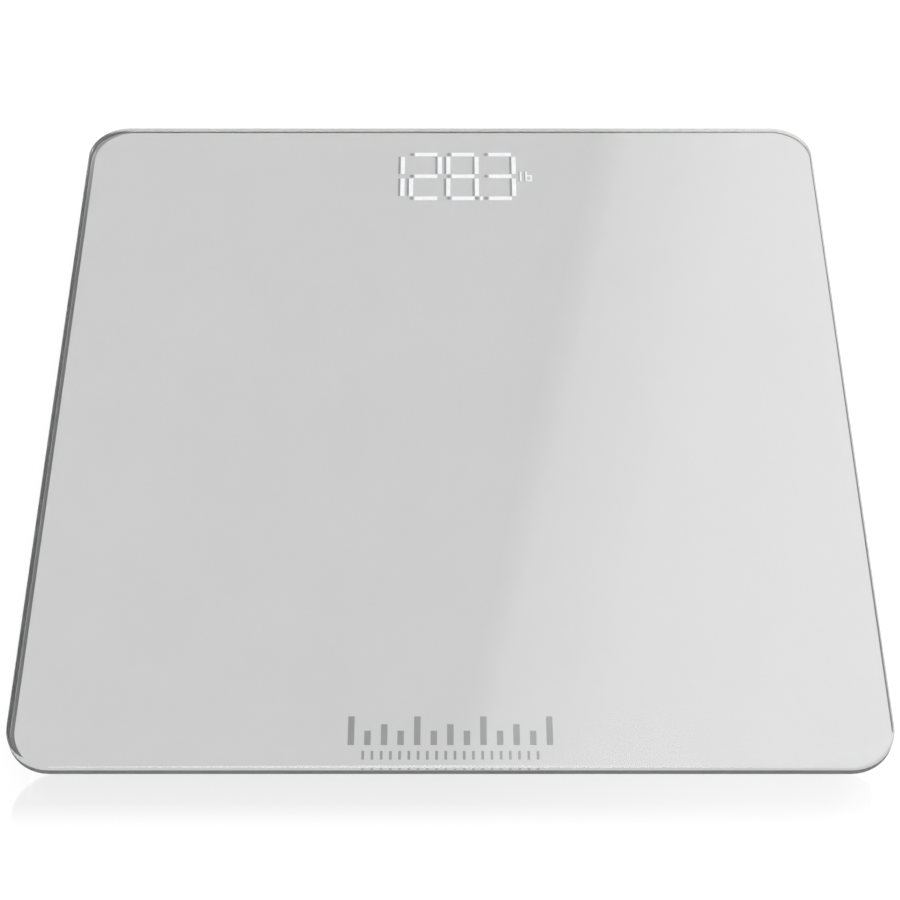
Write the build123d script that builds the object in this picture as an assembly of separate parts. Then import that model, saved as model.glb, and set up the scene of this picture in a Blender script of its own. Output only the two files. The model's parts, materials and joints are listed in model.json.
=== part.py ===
from build123d import *

import os

# Digital bathroom scale. A square glass platform is bonded to a shallow moulded base, which stands on four
# sensing feet. +Z is up, +Y points towards the display edge, +X is the user's right, and the origin is on
# the floor under the middle of the platform. Sizes are in millimetres.

# Platform
PLATFORM = 300.0
PLATFORM_R = 16.0
HEIGHT = 25.0
GLASS_T = 5.0
GLASS_TOP_EDGE_R = 0.9
GLASS_BOTTOM_EDGE_R = 0.5
GLASS_BOTTOM = HEIGHT - GLASS_T

# Film, printed mark and bonding tape under the glass
ADHESIVE_T = 0.05
FILM_T = 0.2
FILM_INSET = 0.55
FILM_INSET_LEFT = 2.4
FILM_TOP = GLASS_BOTTOM - ADHESIVE_T
FILM_BOTTOM = FILM_TOP - FILM_T
TAPE_T = 0.95
TAPE_W = 6.0
BASE_TOP = FILM_BOTTOM - TAPE_T

# Base housing: a tray with upright walls above the knuckle and slanted walls below it
WALL = 2.2
BASE_INSET = 5.0
BASE_HALF = PLATFORM / 2 - BASE_INSET
BASE_R = PLATFORM_R
BASE_BOTTOM = 4.5
KNUCKLE_Z = 11.0
SLANT = 8.0
FLOOR_TOP = BASE_BOTTOM + WALL
CAVITY_SLANT = 6.6
CAVITY_KNUCKLE_Z = 12.05
RIB_T = 1.4
RIB_TOP = 11.0
MOAT_R = 27.0
MOAT_DEPTH = 0.8
LABEL_AT = (0.0, -72.0)
LABEL_SIZE = (70.0, 36.0)
LABEL_DEPTH = 0.25
LABEL_R = 2.5

# Feet, load cells and their brackets
FOOT_X = 105.0
PAD_R = 19.0
PAD_T = 2.0
CUP_R = 20.5
CUP_FLANGE_R = 23.5
CUP_FLANGE_Z = (7.0, 8.4)
WELL_R = 21.0
POST_R = 6.0
PIN_R = 1.9
CELL_SIDE = 34.0
CELL_Z = (11.0, 13.0)
CELL_HOLE_R = 2.0
BRACKET_SIDE = 42.0
BRACKET_BOTTOM = 9.8
BRACKET_POCKET = 34.6
BRACKET_PLATE = 2.0
EAR_REACH = 28.0
EAR_TOP = 12.3
SCREW_R = 1.25
SCREW_HEAD_R = 2.4
SCREW_HEAD_H = 1.6
PILOT_PLAY = 0.02
PILOT_FLOOR = 0.3

# Wires
WIRE_R = 0.6
WIRE_PITCH = 1.6
WIRE_FLOOR_Z = 7.4
WIRE_CELL_Z = 13.8
WIRE_CELL_Y = 11.0
WIRE_PLUG_Z = 13.7
PLUG_Y = (104.0, 109.0)

# Circuit board and display
PCB_X = 48.0
PCB_Y = (103.0, 139.6)
PCB_Z = (10.4, 12.0)
PCB_SCREW_R = 0.95
DISPLAY_X = (-34.5, 36.0)
DISPLAY_Y = (109.7, 140.7)
DIGIT_H = 27.0
DIGIT_W = 13.5
DIGIT_PITCH = 15.3
FIRST_DIGIT_X = -32.3
DIGIT_BOTTOM_Y = 111.0
UPRIGHT_W = 1.75
LEVEL_H = 2.1
LEVEL_X = (2.3, 11.65)
SEGMENT_GAP = 0.25
LIT_SEGMENTS = ("bc", "abged", "abcdefg", "abgcd")
CHAMBER_BOTTOM = PCB_Z[1] + 1.0

# Battery compartment and door
BAY_X = 25.5
BAY_Y = 17.0
BAY_TOP = 17.3
BAY_WALL = 2.4
BAY_ROOF = 1.4
DOOR_X = 26.7
DOOR_Y = 18.2
DOOR_T = 1.6
DOOR_PLAY = 0.3
DOOR_SEAT_Z = BASE_BOTTOM + DOOR_T + 0.2
CELL_R = 5.2
CELL_LENGTH = 43.6
NUB_LENGTH = 0.9
NUB_R = 1.9
CELL_PITCH = 11.0
CELL_AXIS_Z = 12.0
CONTACT_T = 0.5
CONTACT_Z = (7.4, 16.6)
CONTACT_HALF_W = 4.5
SPRING_R = 3.4
SPRING_WIRE_R = 0.3
SPRING_PITCH = 1.6
SOLDER_TAB_X = 30.0
HOOK_X = 15.0
HOOK_HALF_W = 4.0
HOOK_Z = (6.9, 7.9)
POCKET_TOP = 9.9
HOOK_CLEAR_Y = 22.0
LATCH_HALF_W = 6.0
LATCH_TOP = 9.0
LATCH_CLEAR_Y = 22.2
TAB_Z = (14.0, 14.5)
TAB_HALF_W = 1.5

# Unit button on the underside
BUTTON_AT = (-41.0, 121.0)
BUTTON_R = 3.3
BUTTON_HOLE_R = 3.6
BUTTON_Z = (4.9, 7.6)
BUTTON_FLANGE_R = 4.6
BUTTON_FLANGE_Z = 6.9
PLUNGER_R = 1.6
PLUNGER_TOP = 8.9
SWITCH_BOTTOM = 8.5
SWITCH_BORE_R = 1.75
SWITCH_BORE_TOP = 9.6

# Turn about +Z that takes the rear right corner to each corner
CORNERS = {"rear_right": 0, "rear_left": 90, "front_left": 180, "front_right": 270}


# ---------------------------------------------------------------- helpers


def block(x, y, z):
    """Box between the two limits given on each axis."""
    centre = [(low + high) / 2 for low, high in (x, y, z)]
    return Pos(*centre) * Box(x[1] - x[0], y[1] - y[0], z[1] - z[0])


def disc(x, y, z, radius):
    """Upright cylinder between the two heights in z."""
    return Pos(x, y, (z[0] + z[1]) / 2) * Cylinder(radius, z[1] - z[0])


def ring(x, y, z, outer, inner):
    """Upright tube between the two heights in z."""
    return disc(x, y, z, outer) - disc(x, y, z, inner)


def plate(width, depth, radius, z):
    """Plate with rounded corners, centred on the origin, between the two heights in z."""
    return extrude(Plane.XY.offset(z[0]) * RectangleRounded(width, depth, radius), z[1] - z[0])


def around(value, half):
    """Limits of a band of the given half width."""
    return (value - half, value + half)


def group(solids):
    """Separate solids held in one node."""
    return Compound(children=[solid for shape in solids for solid in shape.solids()])


def at_corner(name, shape):
    """Moves a corner module's shape, drawn about its foot's axis, to the named corner."""
    return Rot(0, 0, CORNERS[name]) * Pos(FOOT_X, FOOT_X, 0) * shape


def save(name, shape):
    """Writes one node."""
    export_step(shape, f"parts/{name}.step")


# ---------------------------------------------------------------- platform


def segment_bars(letters_in_use):
    """Plan limits ((x0, x1), (y0, y1)) of each digit's segments named in letters_in_use."""
    half = (DIGIT_H - 3 * LEVEL_H) / 2
    low_y = (LEVEL_H + SEGMENT_GAP, LEVEL_H + half - SEGMENT_GAP)
    high_y = (low_y[0] + half + LEVEL_H, low_y[1] + half + LEVEL_H)
    left_x = (0, UPRIGHT_W)
    right_x = (DIGIT_W - UPRIGHT_W, DIGIT_W)
    shape = {
        "a": (LEVEL_X, (DIGIT_H - LEVEL_H, DIGIT_H)),
        "b": (right_x, high_y),
        "c": (right_x, low_y),
        "d": (LEVEL_X, (0, LEVEL_H)),
        "e": (left_x, low_y),
        "f": (left_x, high_y),
        "g": (LEVEL_X, (LEVEL_H + half, 2 * LEVEL_H + half)),
    }
    bars = []
    for digit, letters in enumerate(letters_in_use):
        start = FIRST_DIGIT_X + digit * DIGIT_PITCH
        for letter in letters:
            x, y = shape[letter]
            bars.append(((start + x[0], start + x[1]), (DIGIT_BOTTOM_Y + y[0], DIGIT_BOTTOM_Y + y[1])))
    return bars


def lit_shapes(z):
    """Segments of the reading: digits, decimal point and the unit, between the two heights in z."""
    stroke = 0.65
    low, high, bowl_top = 121.7, 127.1, 125.1
    point = ((12.15, 13.4), (DIGIT_BOTTOM_Y, DIGIT_BOTTOM_Y + LEVEL_H))
    letter_l = ((28.7, 28.7 + stroke), (low, high))
    shapes = [block(x, y, z) for x, y in segment_bars(LIT_SEGMENTS) + [point, letter_l]]
    stem = block((31.0, 31.0 + stroke), (low, high), z)
    bowl = block((31.0, 33.7), (low, bowl_top), z)
    bowl -= block((31.0 + stroke, 33.7 - stroke), (low + stroke, bowl_top - stroke), z)
    return shapes + [stem + bowl]


def unlit_shapes(z):
    """Segments that the reading leaves dark."""
    dark = ["".join(sorted(set("abcdefg") - set(lit))) for lit in LIT_SEGMENTS]
    return [block(x, y, z) for x, y in segment_bars(dark)]


def mark_shapes(z):
    """Plain graduation bars printed at the front edge: a bold row above a fine row."""
    bold_pitch, bold_w, bold_y = 5.6, 2.2, -139.9
    fine_pitch, fine_w, fine_y, fine_h = 3.1, 0.9, -145.4, 3.3
    heights = {0: 11.0, 1: 5.5, 2: 8.0, 3: 5.5}
    shapes = []
    for index in range(13):
        height = heights[index % 4]
        x = (index - 6) * bold_pitch
        shapes.append(block(around(x, bold_w / 2), (bold_y, bold_y + height), z))
    for index in range(20):
        x = (index - 9.5) * fine_pitch
        shapes.append(block(around(x, fine_w / 2), (fine_y, fine_y + fine_h), z))
    return shapes


def platform_glass():
    """Tempered glass with softly rounded edges."""
    glass = plate(PLATFORM, PLATFORM, PLATFORM_R, (GLASS_BOTTOM, HEIGHT))
    glass = fillet(glass.faces().sort_by(Axis.Z)[-1].edges(), GLASS_TOP_EDGE_R)
    return fillet(glass.faces().sort_by(Axis.Z)[0].edges(), GLASS_BOTTOM_EDGE_R)


def backing_film():
    """Silver film, open at every segment and printed bar. Its clear border is widest on the left."""
    width = PLATFORM - FILM_INSET_LEFT - FILM_INSET
    depth = PLATFORM - 2 * FILM_INSET
    z = (FILM_BOTTOM, FILM_TOP)
    film = Pos((FILM_INSET_LEFT - FILM_INSET) / 2, 0) * plate(width, depth, PLATFORM_R - FILM_INSET, z)
    return film - (lit_shapes(z) + unlit_shapes(z) + mark_shapes(z))


def bonding_tape():
    """Foam tape ring on the base's rim, notched for the display."""
    z = (BASE_TOP, FILM_BOTTOM)
    margin, display_play = 0.3, 0.8
    outer = 2 * (BASE_HALF - margin)
    inner = outer - 2 * TAPE_W
    tape = plate(outer, outer, BASE_R - margin, z) - plate(inner, inner, BASE_R - margin - TAPE_W, z)
    notch_x = (DISPLAY_X[0] - display_play, DISPLAY_X[1] + display_play)
    return tape - block(notch_x, (DISPLAY_Y[0], DISPLAY_Y[1] + display_play), z)


# ---------------------------------------------------------------- base housing


def base_shell():
    """Open tray with upright upper walls and slanted lower walls."""
    lower_half = BASE_HALF - SLANT
    top = Plane.XY.offset(KNUCKLE_Z) * RectangleRounded(2 * BASE_HALF, 2 * BASE_HALF, BASE_R)
    bottom = Plane.XY.offset(BASE_BOTTOM) * RectangleRounded(2 * lower_half, 2 * lower_half, BASE_R - SLANT)
    shell = loft([bottom, top], ruled=True) + extrude(top, BASE_TOP - KNUCKLE_Z)
    cavity_half = BASE_HALF - WALL
    cavity_low = cavity_half - CAVITY_SLANT
    cavity_r = BASE_R - WALL
    mouth = Plane.XY.offset(CAVITY_KNUCKLE_Z) * RectangleRounded(2 * cavity_half, 2 * cavity_half, cavity_r)
    floor = Plane.XY.offset(FLOOR_TOP)
    floor *= RectangleRounded(2 * cavity_low, 2 * cavity_low, cavity_r - CAVITY_SLANT)
    return shell - loft([floor, mouth], ruled=True) - extrude(mouth, BASE_TOP - CAVITY_KNUCKLE_Z)


def rim_gussets():
    """Short upright ribs that widen the rim for the tape, left out beside the display."""
    pitch, per_half, beside_display = 20.0, 6, 3
    reach = (BASE_HALF - TAPE_W - 0.5, BASE_HALF - WALL + 0.3)
    z = (CAVITY_KNUCKLE_Z, BASE_TOP)
    gussets = []
    for turn in (0, 90, 180, 270):
        for step in range(-per_half, per_half + 1):
            if turn == 90 and abs(step) < beside_display:
                continue
            gussets.append(Rot(0, 0, turn) * block(reach, around(step * pitch, RIB_T / 2), z))
    return gussets


def floor_ribs():
    """Stiffening ribs on the tray's floor, stopped short of the wire lanes."""
    half = RIB_T / 2
    z = (FLOOR_TOP, RIB_TOP)
    bay_edge = BAY_Y + BAY_WALL - 0.4
    spine_x, rail_x, rail_reach = 16.0, 100.0, 59.0
    rung_x = (63.0, 135.5)
    ribs = []
    for side in (-1, 1):
        ribs.append(block(around(side * spine_x, half), (bay_edge, 72.0), z))
        ribs.append(block(around(side * spine_x, half), (-135.0, -HOOK_CLEAR_Y), z))
        ribs.append(block(around(side * rail_x, half), (-rail_reach, rail_reach), z))
        for y in (-38.0, 0.0, 38.0):
            ribs.append(block(sorted(side * x for x in rung_x), around(y, half), z))
    for y, reach in ((48.0, 35.0), (-48.0, 50.0), (-96.0, 50.0)):
        ribs.append(block((-reach, reach), around(y, half), z))
    return ribs


def wire_clips():
    """Pairs of small posts that hold the sensor wires on the floor."""
    gap, post, length, top = 3.2, 1.2, 5.0, 9.6
    z = (FLOOR_TOP, top)
    clips = []
    for x, y, along_y in (
        (-56, -70, True),
        (-56, 20, True),
        (56, -20, True),
        (56, 60, True),
        (-90, 66, False),
        (90, -66, False),
        (-66, 78, True),
        (66, 104, True),
    ):
        for side in (-1, 1):
            across = around(side * (gap + post / 2), post / 2)
            along = around(0, length / 2)
            shape = block(across, along, z) if along_y else block(along, across, z)
            clips.append(Pos(x, y, 0) * shape)
    return clips


def boss_places():
    """Bracket screw bosses, as (x, y)."""
    local = [Pos(FOOT_X - EAR_REACH, FOOT_X, 0), Pos(FOOT_X, FOOT_X - EAR_REACH, 0)]
    turned = [Rot(0, 0, turn) * place for turn in CORNERS.values() for place in local]
    return [(place.position.X, place.position.Y) for place in turned]


def pcb_screw_places():
    """Circuit board screws, as (x, y)."""
    return [(x, y) for x in (-44.0, 44.0) for y in (105.6, 135.6)]


def screw_bosses():
    """Bosses with pilot holes for the bracket screws and the board screws."""
    kinds = (
        (boss_places(), BRACKET_BOTTOM, 3.2, SCREW_R),
        (pcb_screw_places(), PCB_Z[0], 3.0, PCB_SCREW_R),
    )
    bosses = []
    for places, top, boss_r, shank_r in kinds:
        for x, y in places:
            pilot = disc(x, y, (FLOOR_TOP + PILOT_FLOOR, top), shank_r + PILOT_PLAY)
            bosses.append(disc(x, y, (FLOOR_TOP, top), boss_r) - pilot)
    return bosses


def battery_bay():
    """Walls and roof of the battery compartment, open below."""
    outer_x = BAY_X + BAY_WALL
    outer_y = BAY_Y + BAY_WALL
    return block((-outer_x, outer_x), (-outer_y, outer_y), (DOOR_SEAT_Z, BAY_TOP + BAY_ROOF))


def bay_cuts():
    """Everything cut out of the base for the batteries, the door, its hooks, its latch and the contacts."""
    past = 0.1
    door_x = DOOR_X + DOOR_PLAY
    door_y = DOOR_Y + DOOR_PLAY
    wall_y = (BAY_Y - past, BAY_Y + BAY_WALL + past)
    wall_x = (BAY_X - past, BAY_X + BAY_WALL + past)
    pocket_z = (DOOR_SEAT_Z, POCKET_TOP)
    latch_x = around(0, LATCH_HALF_W + 1.0)
    cuts = [
        block((-BAY_X, BAY_X), (-BAY_Y, BAY_Y), (BASE_BOTTOM, BAY_TOP)),
        block((-door_x, door_x), (-door_y, door_y), (BASE_BOTTOM, DOOR_SEAT_Z)),
        block(latch_x, wall_y, pocket_z),
        block(latch_x, (BAY_Y, LATCH_CLEAR_Y), (BASE_BOTTOM, FLOOR_TOP)),
    ]
    for side in (-1, 1):
        hook_x = around(side * HOOK_X, HOOK_HALF_W + 0.4)
        cuts.append(block(hook_x, sorted(-y for y in wall_y), pocket_z))
        slot_y = around(-side * CELL_PITCH, TAB_HALF_W + 0.3)
        slot_z = (TAB_Z[0] - 0.2, TAB_Z[1] + 0.2)
        cuts.append(block(sorted(side * x for x in wall_x), slot_y, slot_z))
    return cuts


def base_housing():
    """The whole bottom moulding."""
    collar_outer, collar_inner, collar_top = 25.8, 24.3, 9.0
    button_moat_r, button_moat_depth = 7.0, 0.5
    base = base_shell() + (rim_gussets() + floor_ribs() + wire_clips() + screw_bosses() + [battery_bay()])
    cuts = bay_cuts()
    for name in CORNERS:
        base += at_corner(name, ring(0, 0, (FLOOR_TOP, collar_top), collar_outer, collar_inner))
        cuts.append(at_corner(name, disc(0, 0, (BASE_BOTTOM, FLOOR_TOP), WELL_R)))
        cuts.append(at_corner(name, disc(0, 0, (BASE_BOTTOM, BASE_BOTTOM + MOAT_DEPTH), MOAT_R)))
    cuts.append(disc(*BUTTON_AT, (BASE_BOTTOM, FLOOR_TOP), BUTTON_HOLE_R))
    cuts.append(disc(*BUTTON_AT, (BASE_BOTTOM, BASE_BOTTOM + button_moat_depth), button_moat_r))
    label_z = (BASE_BOTTOM, BASE_BOTTOM + LABEL_DEPTH)
    cuts.append(Pos(*LABEL_AT, 0) * plate(*LABEL_SIZE, LABEL_R, label_z))
    return base - cuts


# ---------------------------------------------------------------- corner modules


def foot_pad():
    """Non-slip pad with two round grooves."""
    pad = disc(0, 0, (0, PAD_T), PAD_R)
    pad = chamfer(pad.edges().sort_by(Axis.Z)[0], 0.5)
    for radius in (8.0, 13.5):
        pad -= ring(0, 0, (0, 0.7), radius + 0.8, radius - 0.8)
    return pad


def foot_cup():
    """Cup that carries the pad, catches on the base's floor and presses on the load cell."""
    cup = ring(0, 0, (1.0, PAD_T), CUP_R, PAD_R + 0.2)
    cup += disc(0, 0, (PAD_T, 4.0), CUP_R)
    cup += ring(0, 0, (4.0, CUP_FLANGE_Z[1]), CUP_R, CUP_R - 2.0)
    cup += ring(0, 0, CUP_FLANGE_Z, CUP_FLANGE_R, CUP_R - 2.0)
    cup += disc(0, 0, (4.0, CELL_Z[0]), POST_R)
    cup += disc(0, 0, CELL_Z, PIN_R)
    for turn in (45, 135, 225, 315):
        cup += Rot(0, 0, turn) * block((POST_R - 0.5, CUP_R - 1.5), (-0.8, 0.8), (4.0, 7.6))
    return cup


def load_cell():
    """Stamped plate with a U-shaped slot that frees the middle tongue."""
    tongue, slot, tip, root = 7.5, 1.6, -14.0, 8.0
    cell = plate(CELL_SIDE, CELL_SIDE, 3.0, CELL_Z)
    for side in (-1, 1):
        cell -= block(sorted((side * tongue, side * (tongue + slot))), (tip, root), CELL_Z)
        cell -= disc(side * (tongue + slot / 2), root, CELL_Z, slot)
    cell -= block((-tongue - slot, tongue + slot), (tip, tip + slot), CELL_Z)
    return cell - disc(0, 0, CELL_Z, CELL_HOLE_R)


def cell_bracket():
    """Carrier with a pocket for the load cell, two ledges under it and two screw ears."""
    half_pocket = BRACKET_POCKET / 2
    plate_bottom = BASE_TOP - BRACKET_PLATE
    arm = 3.1
    bracket = plate(BRACKET_SIDE, BRACKET_SIDE, 4.0, (BRACKET_BOTTOM, BASE_TOP))
    bracket -= plate(BRACKET_POCKET, BRACKET_POCKET, 3.3, (BRACKET_BOTTOM, plate_bottom))
    for side in (-1, 1):
        across = sorted((side * (half_pocket - arm), side * (half_pocket + 0.2)))
        bracket += block(across, (-6, 6), (BRACKET_BOTTOM, CELL_Z[0]))
        bracket += block(across, (-13.0, 13.0), (CELL_Z[1], plate_bottom))
    ear_z = (BRACKET_BOTTOM, EAR_TOP)
    ear_along = (-EAR_REACH - 4.5, -BRACKET_SIDE / 2 + 0.2)
    ear_across = (-4.5, 4.5)
    bracket += block(ear_along, ear_across, ear_z) + block(ear_across, ear_along, ear_z)
    for x, y in ((-EAR_REACH, 0), (0, -EAR_REACH)):
        bracket -= disc(x, y, (BRACKET_BOTTOM, EAR_TOP), SCREW_R + 0.25)
    return bracket - block((-22.0, -12.0), around(WIRE_CELL_Y, 3.2), (CELL_Z[1], 15.2))


def screw(x, y, head_z, shank_r, head_r, head_h, length):
    """Pan-head screw with a cross recess, its head's underside at head_z."""
    head = disc(x, y, (head_z, head_z + head_h), head_r)
    head = chamfer(head.edges().sort_by(Axis.Z)[-1], 0.3)
    recess = (head_z + head_h / 2, head_z + head_h)
    head -= block(around(x, head_r * 0.6), around(y, 0.25), recess)
    head -= block(around(x, 0.25), around(y, head_r * 0.6), recess)
    return head + disc(x, y, (head_z - length, head_z), shank_r)


# ---------------------------------------------------------------- wires


def left_of(start, end):
    """Unit vector to the left of a run, in plan."""
    run = Vector(end.X - start.X, end.Y - start.Y, 0).normalized()
    return Vector(-run.Y, run.X, 0)


def parallel_route(points, shift):
    """The same route, moved sideways by shift to its left; its plan has right-angled turns only."""
    sides = [left_of(start, end) for start, end in zip(points, points[1:])]
    moved = [points[0] + sides[0] * shift]
    for corner, before, after in zip(points[1:-1], sides, sides[1:]):
        turning = (before - after).length > 0.001
        moved.append(corner + (before + after if turning else before) * shift)
    return moved + [points[-1] + sides[-1] * shift]


def wire(points):
    """Round wire along straight runs joined by arcs."""
    path = FilletPolyline(*points, radius=2.4)
    return sweep(Plane(origin=path @ 0, z_dir=path % 0) * Circle(WIRE_R), path=path)


def rise_to_plug(x):
    """End of every route: up from the floor and straight into its connector."""
    return [Vector(x, 95, WIRE_FLOOR_Z), Vector(x, 100, WIRE_PLUG_Z), Vector(x, PLUG_Y[0], WIRE_PLUG_Z)]


def sensor_route(name):
    """Middle wire of a corner's three, from the cell's sealant to its connector."""
    start = [(-5, WIRE_CELL_Z), (-24, WIRE_CELL_Z), (-32, WIRE_FLOOR_Z)]
    leave = [at_corner(name, Pos(x, WIRE_CELL_Y, z)).position for x, z in start]
    turns = {
        "front_left": [(-56, -116), (-56, 82), (-26, 82)],
        "front_right": [(116, -66), (56, -66), (56, 82), (26, 82)],
        "rear_left": [(-116, 66), (-66, 66), (-66, 88), (-38, 88)],
        "rear_right": [(66, 116), (66, 88), (38, 88)],
    }[name]
    return leave + [Vector(x, y, WIRE_FLOOR_Z) for x, y in turns] + rise_to_plug(turns[-1][0])


def sensor_wires(name):
    """Three wires side by side."""
    route = sensor_route(name)
    return group([wire(parallel_route(route, step * WIRE_PITCH)) for step in (-1, 0, 1)])


def battery_lead(side):
    """Lead from a contact's solder tab; side is +1 for the positive lead and -1 for the negative."""
    lane = 40.0
    y = -side * CELL_PITCH
    route = [
        Vector(side * SOLDER_TAB_X, y, 14.25),
        Vector(side * (SOLDER_TAB_X + 4), y, 14.25),
        Vector(side * lane, y, WIRE_FLOOR_Z),
        Vector(side * (lane + 5), y, WIRE_FLOOR_Z),
        Vector(side * (lane + 5), 76, WIRE_FLOOR_Z),
        Vector(side * 1.0, 76, WIRE_FLOOR_Z),
    ]
    return wire(route + rise_to_plug(side * 1.0))


# ---------------------------------------------------------------- circuit board and display


def main_pcb():
    """Board with holes for its screws and the display's pins."""
    board = block((-PCB_X, PCB_X), PCB_Y, PCB_Z)
    board = fillet(board.edges().filter_by(Axis.Z), 1.5)
    holes = [disc(x, y, PCB_Z, PCB_SCREW_R + 0.2) for x, y in pcb_screw_places()]
    holes += [disc(x, y, PCB_Z, 0.45) for x, y in pin_places()]
    return board - holes


def pin_places():
    """Display pins, as (x, y)."""
    return [(-32.0 + 3.2 * step, y) for y in (112.5, 137.8) for step in range(21)]


def chip(x, y, width, depth, leads, lead_pitch):
    """Chip under the board, with leads along its front and back edges."""
    body = block(around(x, width / 2), around(y, depth / 2), (9.0, PCB_Z[0] - 0.15))
    for index in range(leads):
        lead_x = x + (index - (leads - 1) / 2) * lead_pitch
        body += block(around(lead_x, 0.2), around(y, depth / 2 + 1.2), (PCB_Z[0] - 0.3, PCB_Z[0]))
    return body


def display_housing():
    """Display body with one light chamber for each segment."""
    chambers = (CHAMBER_BOTTOM, BASE_TOP)
    body = block(DISPLAY_X, DISPLAY_Y, (PCB_Z[1], BASE_TOP))
    return body - (lit_shapes(chambers) + unlit_shapes(chambers))


def display_gasket():
    """Foam light seal between the display body and the film."""
    z = (BASE_TOP, FILM_BOTTOM)
    width = 0.9
    inner_x = (DISPLAY_X[0] + width, DISPLAY_X[1] - width)
    inner_y = (DISPLAY_Y[0] + width, DISPLAY_Y[1] - width)
    return block(DISPLAY_X, DISPLAY_Y, z) - block(inner_x, inner_y, z)


def connector(x, pins):
    """Plug and socket on the board, its wires entering from the front."""
    wall, plug_depth, foot = 0.8, 2.6, 1.2
    half = pins * WIRE_PITCH / 2 + 1.0
    top = PCB_Z[1] + 3.6
    window_y = (PLUG_Y[0] + plug_depth, PLUG_Y[1] - wall)
    window = block(around(x, half - wall), window_y, (PCB_Z[1] + foot, top))
    return block(around(x, half), PLUG_Y, (PCB_Z[1], top)) - window


def pcb_passives():
    """Resistors and capacitors under the board, a crystal and a round capacitor on top."""
    long_half, short_half = 1.0, 0.6
    z = (PCB_Z[0] - 0.7, PCB_Z[0])
    parts = []
    for x in (-22, -4, 4, 34):
        for y in (119, 122, 125, 128):
            parts.append(block(around(x, long_half), around(y, short_half), z))
    for x in range(-26, 39, 4):
        parts.append(block(around(x, short_half), around(131.5, long_half), z))
    crystal = block((10.0, 18.0), (104.2, 107.8), (PCB_Z[1], PCB_Z[1] + 3.2))
    capacitor = disc(-14.0, 106.0, (PCB_Z[1], PCB_Z[1] + 5.4), 2.5)
    return group(parts + [crystal, capacitor])


def tact_switch():
    """Push switch under the board."""
    x, y = BUTTON_AT
    body = block(around(x, 3.0), around(y, 3.0), (SWITCH_BOTTOM, PCB_Z[0]))
    body -= disc(x, y, (SWITCH_BOTTOM, SWITCH_BORE_TOP), SWITCH_BORE_R)
    for side in (-1, 1):
        body += block(around(x, 3.9), around(y + side * 2.2, 0.35), (PCB_Z[0] - 0.4, PCB_Z[0]))
    return body


def unit_button():
    """Button cap with a retaining flange and a shallow finger dish."""
    x, y = BUTTON_AT
    cap = disc(x, y, BUTTON_Z, BUTTON_R)
    cap = chamfer(cap.edges().sort_by(Axis.Z)[0], 0.3)
    cap += disc(x, y, (BUTTON_FLANGE_Z, BUTTON_Z[1]), BUTTON_FLANGE_R)
    dish_r = 12.0
    return cap - Pos(x, y, BUTTON_Z[0] - dish_r + 0.35) * Sphere(dish_r)


# ---------------------------------------------------------------- battery parts


def cell_facing(index):
    """Direction in X of a cell's positive end; neighbours lie opposite ways."""
    return -1 if index == 1 else 1


def facing_turn(facing):
    """Turns a shape drawn for a cell that faces +X to face the given way."""
    return Rot(0, 0, 0 if facing > 0 else 180)


def battery(index):
    """AAA cell touching its flat contact with its nub."""
    facing = cell_facing(index)
    y = (index - 1) * CELL_PITCH
    nub_tip = BAY_X - CONTACT_T
    body_end = nub_tip - NUB_LENGTH
    body = Cylinder(CELL_R, CELL_LENGTH)
    body = fillet(body.edges().filter_by(GeomType.CIRCLE), 0.4)
    can = Pos(body_end - CELL_LENGTH / 2, 0, 0) * Rot(0, 90, 0) * body
    nub = Pos(nub_tip - NUB_LENGTH / 2, 0, 0) * Rot(0, 90, 0) * Cylinder(NUB_R, NUB_LENGTH)
    return Pos(0, y, CELL_AXIS_Z) * facing_turn(facing) * (can + nub)


def battery_spring(index):
    """Coil that presses on a cell's flat end."""
    facing = cell_facing(index)
    seat = BAY_X - CONTACT_T
    cell_end = seat - NUB_LENGTH - CELL_LENGTH
    play = SPRING_WIRE_R + 0.05
    path = Helix(SPRING_PITCH, cell_end + seat - 2 * play, SPRING_R)
    coil = sweep(Plane(origin=path @ 0, z_dir=path % 0) * Circle(SPRING_WIRE_R), path=path, is_frenet=True)
    lying = Pos(play - seat, 0, 0) * Rot(0, 90, 0) * coil
    return Pos(0, (index - 1) * CELL_PITCH, CELL_AXIS_Z) * facing_turn(facing) * lying


def contact_plate(facing, first, last):
    """Flat plate on the bay's end wall that spans the named cells; facing names the wall."""
    y = ((first - 1) * CELL_PITCH - CONTACT_HALF_W, (last - 1) * CELL_PITCH + CONTACT_HALF_W)
    return block(sorted((facing * (BAY_X - CONTACT_T), facing * BAY_X)), y, CONTACT_Z)


def end_contact(facing, index):
    """Contact of one cell, with a solder tab that reaches out through the bay's wall."""
    along = sorted((facing * BAY_X, facing * SOLDER_TAB_X))
    tab = block(along, around((index - 1) * CELL_PITCH, TAB_HALF_W), TAB_Z)
    return contact_plate(facing, index, index) + tab


def battery_door():
    """Flush door with two hooks at its front edge and finger ridges near its latch."""
    top = BASE_BOTTOM + DOOR_T
    hook_t, hook_reach = 1.3, 2.2
    ridges, ridge_pitch, ridge_half_w, ridge_h = 5, 2.0, 0.4, 0.3
    door = block((-DOOR_X, DOOR_X), (-DOOR_Y, DOOR_Y), (BASE_BOTTOM, top))
    door = fillet(door.edges().filter_by(Axis.Z), 1.0)
    for side in (-1, 1):
        width = around(side * HOOK_X, HOOK_HALF_W)
        door += block(width, (-DOOR_Y, -DOOR_Y + hook_t), (top, HOOK_Z[1]))
        door += block(width, (-DOOR_Y - hook_reach, -DOOR_Y), HOOK_Z)
    for step in range(ridges):
        y = around(14.5 - ridge_pitch * step, ridge_half_w)
        door += block(around(0, LATCH_HALF_W), y, (BASE_BOTTOM - ridge_h, BASE_BOTTOM))
    return door


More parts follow.
